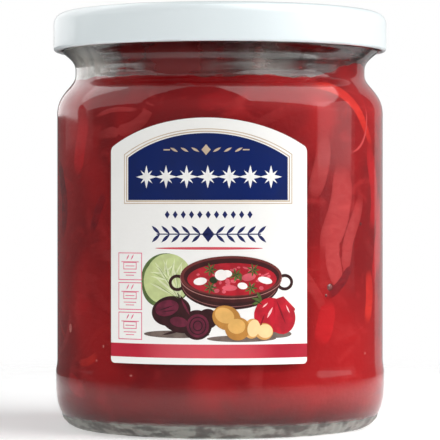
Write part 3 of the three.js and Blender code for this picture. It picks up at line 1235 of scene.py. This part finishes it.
def add_shape(bm, kind, *numbers):
    """One printed shape, in millimetres on the label.

    A patch is given by its points, a bar and a frame by two corners, and the others by their middle
    and size. A last number turns an oval or leaf, in degrees, or is a ring's or frame's line width.
    """
    if kind == "patch":
        polygon(bm, [(across * MM, up * MM) for across, up in numbers])
        return
    place, size = [[number * MM for number in numbers[start : start + 2]] for start in (0, 2)]
    last = numbers[4] if len(numbers) > 4 else 0
    if kind == "oval":
        ellipse(bm, place, size, radians(last))
    elif kind == "leaf":
        leaf(bm, place, *size, radians(last))
    elif kind == "bar":
        rectangle(bm, place, size)
    else:
        ring = kind == "ring"
        verts = ellipse(bm, place, size, segments=64) if ring else rectangle(bm, place, size)
        hollow(bm, list(verts[0].link_faces), last * MM)


def fan(centre, reach, width, turns):
    """Leaves that spread from a point, at a few turns in degrees."""
    for turn in turns:
        across = centre[0] + reach / 2 * cos(radians(turn))
        up = centre[1] + reach / 2 * sin(radians(turn))
        yield ("leaf", across, up, reach, width, turn)


SCATTER_FLATNESS = 0.6
SCATTER_TURN = 40


def scattered(seed, count, centre, radii, sizes):
    """Small ovals scattered over an oval."""
    rng = random.Random(seed)
    for _ in range(count):
        turn, away = rng.uniform(0, tau), sqrt(rng.random())
        across = centre[0] + radii[0] * away * cos(turn)
        up = centre[1] + radii[1] * away * sin(turn)
        wide, tall = rng.uniform(*sizes), rng.uniform(*sizes)
        turn = rng.uniform(-SCATTER_TURN, SCATTER_TURN)
        yield ("oval", across, up, wide, tall * SCATTER_FLATNESS, turn)


def pictogram(bottom):
    """A framed sign of a pot on a stove."""
    left, right, height = -22.9, -16.1, 6.7
    middle, low = (left + right) / 2, bottom + 2.6
    bars = ((2.5, low + 1.75), (1.3, low + 0.75), (1.8, bottom + 1.75), (1.2, bottom + 1.1))
    return [
        ("frame", left, bottom, right, bottom + height, 0.22),
        ("frame", middle - 1.9, low, middle + 1.9, low + 1.8, 0.2),
        *(("bar", middle - half, up, middle + half, up + 0.2) for half, up in bars),
        ("leaf", middle - 0.6, low + 3.0, 1.6, 0.5, 60),
        ("leaf", middle + 0.7, low + 3.0, 1.6, 0.5, 60),
    ]


HERBS = ((1.0, 41.2), (7.1, 39.9), (11.3, 41.1), (1.0, 36.9), (10.7, 36.7))
# Millimetres and degrees, as add_shape takes them.
PICTURE = (
    # piece, layer of ink, colour, share left in its shaded spots, shapes
    ("print_shade", 1, srgb(120, 104, 96), 0.7, (
        ("oval", -7.4, 25.6, 8.2, 0.9), ("oval", 8.6, 24.6, 8.4, 0.8),
        ("oval", 17.4, 25.6, 3.6, 0.9),
    )),
    ("print_cabbage_rim", 1, srgb(104, 128, 70), 0.6, (
        ("oval", -9.8, 38.9, 6.5, 6.2), ("oval", -12.4, 36.6, 3.6, 4.4, 20),
    )),
    ("print_cabbage", 2, srgb(202, 214, 150), 0.86, (
        ("oval", -9.2, 39.2, 5.8, 5.8), ("oval", -11.0, 38.2, 4.6, 5.2, 10),
    )),
    ("print_cabbage_heart", 3, srgb(226, 232, 190), 0.86, (
        *fan((-6.2, 34.4), 8.6, 0.8, (88, 104, 118, 130, 142, 156)),
        *fan((-8.4, 38.4), 5.6, 0.6, (60, 82, 112, 140, 168)),
        *fan((-10.4, 40.2), 3.6, 0.5, (40, 75, 130, 175)),
    )),
    ("print_cabbage_veins", 4, srgb(150, 172, 100), 0.8, (
        *fan((-6.6, 34.2), 7.6, 0.28, (96, 124, 149)),
        *fan((-9.4, 38.6), 4.6, 0.22, (70, 98, 126, 154)),
    )),
    ("print_beets", 3, srgb(58, 24, 28), 0.55, (
        ("oval", -8.6, 31.2, 4.9, 3.6, 10), ("oval", -6.4, 29.0, 4.6, 3.0, -12),
        ("oval", -2.2, 27.9, 3.6, 3.6), ("oval", 0.4, 29.4, 2.4, 2.4),
        ("leaf", -8.4, 26.0, 5.2, 0.8, 14), ("leaf", -5.6, 33.6, 5.2, 1.4, -55),
    )),
    ("print_beet_flesh", 4, srgb(112, 34, 58), 0.6, (
        ("oval", -9.6, 31.9, 3.0, 1.9, 14), ("oval", -2.0, 27.7, 2.7, 2.8),
        ("leaf", -5.0, 32.2, 4.4, 0.8, -62), ("oval", -6.6, 28.6, 2.2, 1.2, -10),
    )),
    ("print_beet_rings", 5, srgb(56, 18, 30), 0.7, (
        ("ring", -2.0, 27.7, 2.1, 2.2, 0.3), ("ring", -2.0, 27.7, 1.2, 1.3, 0.28),
        ("leaf", -9.8, 31.9, 4.4, 0.4, 18), ("leaf", -9.2, 31.2, 3.6, 0.35, 8),
    )),
    ("print_pot", 5, srgb(58, 26, 26), 0.7, (
        ("oval", 5.8, 37.5, 11.9, 5.9), ("ring", -7.0, 38.0, 2.1, 2.0, 0.75),
        ("ring", 19.2, 38.1, 2.2, 2.0, 0.75),
    )),
    ("print_pot_foot", 6, srgb(150, 96, 92), 0.8, (("ring", 5.8, 37.6, 11.6, 5.4, 0.16),)),
    ("print_pot_bowl", 7, srgb(74, 30, 30), 0.7, (("oval", 6.0, 38.5, 12.2, 5.3),)),
    ("print_pot_edge", 8, srgb(176, 124, 118), 0.8, (("ring", 6.1, 39.2, 12.4, 5.1, 0.18),)),
    ("print_pot_rim", 9, srgb(112, 48, 46), 0.75, (("oval", 6.1, 39.6, 12.3, 4.9),)),
    ("print_pot_inside", 10, srgb(66, 26, 28), 0.75, (("oval", 6.2, 39.5, 11.6, 4.4),)),
    ("print_soup", 11, srgb(184, 28, 44), 0.7, (("oval", 6.3, 38.9, 10.8, 3.9),)),
    ("print_soup_bits", 12, srgb(226, 96, 110), 0.75, (
        *scattered(3, 34, (6.3, 38.9), (9.6, 3.2), (0.3, 0.8)),
        ("oval", 10.2, 39.4, 1.7, 0.9, 10), ("oval", 5.6, 36.8, 1.8, 0.7),
    )),
    ("print_herbs", 13, srgb(96, 118, 58), 0.55, (
        *(blade for place in HERBS for blade in fan(place, 1.7, 0.62, range(0, 360, 52))),
        *fan((8.3, 40.4), 2.2, 0.6, (200, 235, 270)), *fan((13.4, 33.7), 2.6, 1.0, (120, 165, 200)),
    )),
    ("print_herb_shade", 14, srgb(48, 58, 34), 0.7, (
        *(blade for place in HERBS for blade in fan(place, 1.1, 0.3, range(25, 360, 90))),
        ("oval", 1.8, 38.7, 1.0, 0.8), ("leaf", 12.6, 33.3, 2.4, 0.4, -30),
    )),
    ("print_cream", 15, srgb(250, 244, 240), 0.94, (
        ("oval", -1.4, 38.4, 1.6, 0.9, 8), ("oval", 3.6, 39.9, 1.5, 1.3),
        ("oval", 4.9, 40.2, 1.3, 0.9), ("oval", 8.7, 37.3, 1.2, 0.8, -10),
        ("oval", 14.2, 38.6, 1.8, 0.8, -14),
    )),
    ("print_pepper", 8, srgb(196, 26, 46), 0.72, (
        ("oval", 15.6, 30.2, 4.1, 4.2, -8), ("oval", 18.4, 29.6, 3.6, 4.0, 12),
        ("patch", (15.2, 33.6), (18.8, 25.4), (22.0, 31.6), (18.8, 34.7)),
    )),
    ("print_pepper_fold", 9, srgb(140, 14, 32), 0.75, (
        ("leaf", 18.2, 31.0, 6.6, 0.7, -68), ("leaf", 13.4, 28.6, 4.6, 0.6, 70),
    )),
    ("print_pepper_shine", 10, srgb(246, 196, 196), 0.9, (
        ("leaf", 15.4, 30.8, 3.0, 0.8, 62), ("leaf", 20.0, 31.6, 2.2, 0.5, -64),
        ("leaf", 14.2, 32.6, 1.8, 0.5, 40),
    )),
    ("print_potatoes", 10, srgb(196, 136, 62), 0.8, (
        ("oval", 4.9, 29.6, 3.5, 2.9, -24), ("oval", 7.5, 27.0, 3.0, 2.8),
    )),
    ("print_potato_glow", 11, srgb(230, 178, 100), 0.88, (
        ("oval", 4.4, 30.2, 2.4, 1.8, -24), ("oval", 7.3, 27.6, 2.1, 1.8),
    )),
    ("print_slices", 9, srgb(226, 168, 96), 0.85, (
        ("oval", 11.0, 27.0, 2.0, 2.4, -12), ("oval", 13.9, 26.3, 2.3, 2.0, -8),
    )),
    ("print_slice_faces", 11, srgb(250, 216, 158), 0.93, (
        ("oval", 11.4, 27.1, 1.5, 2.1, -12), ("oval", 14.2, 26.4, 1.9, 1.65, -8),
    )),
    ("print_pictograms", 1, srgb(226, 112, 140), 0.9, (
        *pictogram(38.5), *pictogram(31.3), *pictogram(24.1),
    )),
)


def build_picture(settings):
    """The picture of a pot and vegetables, and the signs beside it, one piece for each ink."""
    for name, layer, colour, shade, shapes in PICTURE:
        bm = bmesh.new()
        for shape in shapes:
            add_shape(bm, *shape)
        make_print(name, bm, layer, ink_material(name, colour, shade=shade, grain=settings.grain))


# Studio.


SENSOR = 36  # width in millimetres
LIGHT_DISTANCE = 0.65
LIGHT_AIM = 0.06  # height that the lights point at
GLOW_WATTS = 4  # from each square metre, at a brightness of 1
SOFT_STEPS = 5  # boxes inside each other, which make a reflection's edges fade
SOFT_SHARE = 0.5
FLOOR_FADE = (0.35, 0.85)  # shares of the floor's radius where it starts and ends to fade
FLOOR_GLOW = 0.22
SOFTBOXES = (
    # name, azimuth, elevation, roll, width and height, brightness, and what it is for: light on the
    # things in the glass, or only a reflection in the glass
    ("left_wall", -134, 31, 0, (0.60, 0.66), 6.0, "mirror"),
    ("left_low", -112, 5, 0, (0.46, 0.06), 0.6, "mirror"),
    ("left_top", -90, 44, 24, (0.70, 0.86), 3.6, "mirror"),
    ("left_top_wash", -78, 24, 0, (0.60, 0.60), 0.5, "fill"),
    ("right_top", 70, 50, -28, (0.80, 0.86), 9.0, "mirror"),
    ("right_top_wash", 78, 34, 0, (0.66, 0.84), 2.1, "fill"),
    ("right_side", 90, 12, 0, (0.38, 0.24), 3.2, "mirror"),
    ("right_side_low", 93, 2, 0, (0.40, 0.14), 0.6, "mirror"),
    ("back_right", 156, 8, 0, (0.34, 0.5), 1.6, "mirror"),
    ("right_fill", 92, 22, 0, (0.4, 0.4), 2.1, "fill"),
    ("front_fill", -16, 14, 0, (0.6, 0.5), 1.5, "fill"),
)


def build_camera(settings):
    data = bpy.data.cameras.new("camera")
    data.lens = settings.lens
    data.sensor_width = SENSOR
    camera = place_object("camera", data)
    turn = settings.camera_turn
    camera.location = (
        settings.camera_distance * sin(turn),
        -settings.camera_distance * cos(turn),
        settings.camera_height,
    )
    target = Vector((0, 0, (CAD_BOX[0][2] + CAD_BOX[1][2]) / 2))
    camera.rotation_euler = (target - camera.location).to_track_quat("-Z", "Y").to_euler()
    bpy.context.scene.camera = camera


def softbox(name, azimuth, elevation, roll, size, glow, use):
    """A soft light round the jar; azimuth is from the front towards the right, in degrees."""
    data = bpy.data.lights.new(name, "AREA")
    data.shape = "RECTANGLE"
    data.size, data.size_y = size
    data.energy = GLOW_WATTS * size[0] * size[1] * glow
    light = place_object(name, data)
    around, up = radians(azimuth), radians(elevation)
    away = Vector((cos(up) * sin(around), -cos(up) * cos(around), sin(up)))
    light.location = away * LIGHT_DISTANCE + Vector((0, 0, LIGHT_AIM))
    turned = away.to_track_quat("Z", "Y") @ Quaternion((0, 0, 1), radians(roll))
    light.rotation_euler = turned.to_euler()
    light.visible_camera = False
    light.visible_glossy = use != "fill"
    light.visible_diffuse = use != "mirror"


def floor_material(settings):
    """Pale paper that fades out into the light background at its rim."""
    material, finish = new_material("studio_floor")
    low, high = [settings.floor_radius * share for share in FLOOR_FADE]
    fade = finish.ramp(finish.distance(finish.place()), low, high)
    glow = {"Emission Color": settings.floor, "Emission Strength": FLOOR_GLOW}
    paper = finish.principled({"Base Color": settings.floor, "Roughness": 0.9, **glow})
    finish.output(finish.blend(fade, paper, finish.node("ShaderNodeBsdfTransparent", {}, {})))
    return material


def build_world(settings):
    """White behind everything, seen straight or through glass, and dimmer as a source of light."""
    world = bpy.data.worlds.new("studio")
    bpy.context.scene.world = world
    world.use_nodes = True
    finish = Finish(world.node_tree)
    rays = ("Is Camera Ray", "Is Transmission Ray", "Diffuse Depth")
    straight, through, bounced = [finish.node("ShaderNodeLightPath", {}, {}, ray) for ray in rays]
    seen = (straight + through) * (1 - finish.maths("MINIMUM", bounced, 1))
    strength = finish.ramp(seen, 0, 1, settings.ambient, 1)
    sky = finish.node("ShaderNodeBackground", {}, {"Color": (1, 1, 1, 1), "Strength": strength})
    finish.node("ShaderNodeOutputWorld", {}, {"Surface": sky}, None)


def build_stage(settings):
    bpy.context.scene.view_settings.view_transform = "Standard"
    build_camera(settings)
    build_world(settings)
    for name, azimuth, elevation, roll, size, glow, use in SOFTBOXES:
        steps = SOFT_STEPS if use == "mirror" else 1
        for step in range(steps):
            inner = [side * (1 - SOFT_SHARE * step / steps) for side in size]
            share = glow * settings.light / steps
            softbox(f"{name}_{step}", azimuth, elevation, roll, inner, share, use)
    bm = bmesh.new()
    bmesh.ops.create_circle(bm, cap_ends=True, radius=settings.floor_radius, segments=96)
    mesh = mesh_of("studio_floor", bm)
    mesh.materials.append(floor_material(settings))
    floor = place_object("studio_floor", mesh)
    floor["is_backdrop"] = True


# Settings that a user would change.


def colour_property(name, description, default):
    return bpy.props.FloatVectorProperty(
        name=name,
        description=description,
        subtype="COLOR",
        size=4,
        min=0,
        max=1,
        default=default,
    )


def count_property(name, default, description="Number at the glass", lowest=0, highest=400):
    return bpy.props.IntProperty(
        name=name, description=description, default=default, min=lowest, max=highest
    )


def number_property(name, description, default, **more):
    return bpy.props.FloatProperty(name=name, description=description, default=default, **more)


def length_property(name, description, default):
    return number_property(name, description, default, unit="LENGTH")


class GlassSettings(bpy.types.PropertyGroup):
    clear: colour_property("Clear", "Colour that the glass surface lets through", (1, 1, 1, 1))
    tint: colour_property("Tint", "Colour of thick glass", srgb(206, 222, 214))
    tint_density: number_property("Tint Density", "How fast thick glass takes its tint", 60, min=0)
    frost: colour_property("Frost", "Ground glass of the foot's grip", srgb(168, 174, 166))
    # Painted shade for the darker streaks of the ground foot's grip.
    frost_painted_shade: colour_property("Dark Frost", "Hollows of that grip", srgb(84, 88, 84))
    roughness: number_property(
        "Roughness", "Haze of the glass surface", 0.07, subtype="FACTOR", min=0, max=1
    )
    knurls: count_property("Knurls", 96, "Slanted bars round the foot", 24, 128)


class LidSettings(bpy.types.PropertyGroup):
    enamel: colour_property("Enamel", "Colour of the lid", srgb(238, 247, 249))
    enamel_shade: colour_property("Enamel Shade", "Darkest of its clouding", srgb(222, 234, 237))
    scuff: colour_property("Scuff Colour", "Bare metal in the scuff mark", srgb(104, 104, 108))
    scuff_place: bpy.props.FloatVectorProperty(
        name="Scuff",
        description="Middle of the scuff mark",
        subtype="TRANSLATION",
        unit="LENGTH",
        size=3,
        default=(3.1e-3, -41e-3, 104.9e-3),
    )


class BorschtSettings(bpy.types.PropertyGroup):
    broth_deep: colour_property("Deep Broth", "Darkest colour of the broth", srgb(126, 9, 15))
    broth: colour_property("Broth", "Usual colour of the broth", srgb(164, 17, 22))
    broth_pale: colour_property("Pale Broth", "Mash and fine strands in it", srgb(188, 46, 48))
    # Partly a real dried film, its dark brown also painted shade seen through the neck.
    film: colour_property("Film", "Dried film on the neck", srgb(58, 42, 39))
    splash: colour_property("Splash", "Splashes in that film", srgb(112, 16, 18))
    # Painted reflection: near-white patches on the neck film where the neck shows light.
    painted_reflection: colour_property("Haze", "Its driest, palest part", srgb(255, 249, 242))
    cabbage: colour_property("Cabbage", "Stained cabbage", srgb(204, 78, 78))
    beet: colour_property("Beet", "Cooked beet", srgb(98, 8, 22))
    carrot: colour_property("Carrot", "Stained carrot", srgb(206, 44, 34))
    pepper: colour_property("Pepper", "Red pepper and tomato", srgb(202, 26, 34))
    crumb: colour_property("Crumb", "Crumbs of potato and fat", srgb(206, 150, 140))
    cabbage_count: count_property("Cabbage Shreds", 36)
    beet_count: count_property("Beet Strips", 80)
    carrot_count: count_property("Carrot Strips", 22)
    pepper_count: count_property("Pepper Pieces", 26)
    crumb_count: count_property("Crumbs", 14)
    strip_cuts: count_property("Strip Cuts", 16, "Bends that a strip can take", 4, 40)


class LabelSettings(bpy.types.PropertyGroup):
    paper: colour_property("Paper", "Coated label paper", srgb(246, 245, 242))
    paper_shade: colour_property("Paper Shade", "Fibres in the paper", srgb(236, 235, 231))
    blue: colour_property("Blue", "Arched field", srgb(0, 28, 92))
    navy: colour_property("Navy", "Vine under the field", srgb(24, 34, 92))
    gold: colour_property("Gold", "Frame lines and sprig", srgb(206, 184, 158))
    crimson: colour_property("Crimson", "Rule and band", srgb(184, 28, 52))
    grain: number_property("Picture Grain", "Shaded spots per metre in the picture", 420, min=1)


class StudioSettings(bpy.types.PropertyGroup):
    camera_distance: length_property("Camera Distance", "Level, from the jar's axis", 0.605)
    camera_height: length_property("Camera Height", "Over the floor", 0.056)
    camera_turn: number_property(
        "Camera Turn", "To the right of the label's middle", radians(4.55), subtype="ANGLE"
    )
    lens: number_property("Lens", "Focal length", 192, unit="CAMERA", min=10)
    light: number_property("Light", "Brightness of all softboxes", 1, min=0)
    ambient: number_property("Ambient", "Light from all round", 0.13, min=0)
    floor: colour_property("Floor", "Pale studio floor", srgb(250, 250, 250))
    floor_radius: length_property("Floor Radius", "Where the floor ends", 0.34)


class JarOfBorschtSettings(bpy.types.PropertyGroup):
    glass: bpy.props.PointerProperty(type=GlassSettings, name="Glass")
    lid: bpy.props.PointerProperty(type=LidSettings, name="Lid")
    borscht: bpy.props.PointerProperty(type=BorschtSettings, name="Borscht")
    label: bpy.props.PointerProperty(type=LabelSettings, name="Label")
    studio: bpy.props.PointerProperty(type=StudioSettings, name="Studio")


class BuildOperator:
    """Runs one building function on its part of the scene's settings."""

    bl_options = {"REGISTER", "UNDO"}

    def execute(self, context):
        settings = context.scene.jar_of_borscht
        self.build(getattr(settings, self.group))
        return {"FINISHED"}


class JAR_OT_stage(BuildOperator, bpy.types.Operator):
    """Set up the floor, soft lights and camera"""

    bl_idname = "borscht_jar.stage"
    bl_label = "Stage"
    group, build = "studio", staticmethod(build_stage)


class JAR_OT_glass(BuildOperator, bpy.types.Operator):
    """Make the glass jar with its thread and knurled foot"""

    bl_idname = "borscht_jar.glass"
    bl_label = "Glass"
    group, build = "glass", staticmethod(build_glass)


class JAR_OT_lid(BuildOperator, bpy.types.Operator):
    """Make the enamelled twist-off lid"""

    bl_idname = "borscht_jar.lid"
    bl_label = "Lid"
    group, build = "lid", staticmethod(build_lid)


class JAR_OT_broth(BuildOperator, bpy.types.Operator):
    """Fill the jar with broth and mash"""

    bl_idname = "borscht_jar.broth"
    bl_label = "Broth"
    group, build = "borscht", staticmethod(build_broth)


class JAR_OT_shreds(BuildOperator, bpy.types.Operator):
    """Lay shredded vegetables against the glass"""

    bl_idname = "borscht_jar.shreds"
    bl_label = "Vegetables"
    group, build = "borscht", staticmethod(build_shreds)


class JAR_OT_specks(BuildOperator, bpy.types.Operator):
    """Catch air bubbles and crumbs against the glass"""

    bl_idname = "borscht_jar.specks"
    bl_label = "Bubbles and Crumbs"
    group, build = "borscht", staticmethod(build_specks)


class JAR_OT_film(BuildOperator, bpy.types.Operator):
    """Leave a film of broth on the neck"""

    bl_idname = "borscht_jar.film"
    bl_label = "Neck Film"
    group, build = "borscht", staticmethod(build_film)


class JAR_OT_label(BuildOperator, bpy.types.Operator):
    """Glue the paper label to the jar"""

    bl_idname = "borscht_jar.label"
    bl_label = "Label"
    group, build = "label", staticmethod(build_label)


class JAR_OT_fields(BuildOperator, bpy.types.Operator):
    """Print the label's fields, lines and ornaments"""

    bl_idname = "borscht_jar.fields"
    bl_label = "Printed Fields"
    group, build = "label", staticmethod(build_fields)


class JAR_OT_picture(BuildOperator, bpy.types.Operator):
    """Print the label's picture of a pot and vegetables"""

    bl_idname = "borscht_jar.picture"
    bl_label = "Printed Picture"
    group, build = "label", staticmethod(build_picture)


OPERATORS = (
    JAR_OT_stage,
    JAR_OT_glass,
    JAR_OT_lid,
    JAR_OT_broth,
    JAR_OT_shreds,
    JAR_OT_specks,
    JAR_OT_film,
    JAR_OT_label,
    JAR_OT_fields,
    JAR_OT_picture,
)


class JAR_PT_sidebar(bpy.types.Panel):
    """Buttons that build the jar, one piece or group of pieces at a time"""

    bl_label = "Jar of Borscht"
    bl_space_type = "VIEW_3D"
    bl_region_type = "UI"
    bl_category = "Borscht"

    def draw(self, context):
        for operator in OPERATORS:
            self.layout.operator(operator.bl_idname)


CLASSES = (
    GlassSettings,
    LidSettings,
    BorschtSettings,
    LabelSettings,
    StudioSettings,
    JarOfBorschtSettings,
    *OPERATORS,
    JAR_PT_sidebar,
)


def register():
    for cls in CLASSES:
        bpy.utils.register_class(cls)
    bpy.types.Scene.jar_of_borscht = bpy.props.PointerProperty(type=JarOfBorschtSettings)


def unregister():
    del bpy.types.Scene.jar_of_borscht
    for cls in reversed(CLASSES):
        bpy.utils.unregister_class(cls)


def main():
    register()
    for operator in OPERATORS:
        getattr(bpy.ops.borscht_jar, operator.bl_idname.split(".")[1])()
    boxes = {"cad": CAD_BOX, "visual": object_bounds()}
    {name: [list(corner) for corner in box] for name, box in boxes.items()}


if __name__ == "__main__":
    main()
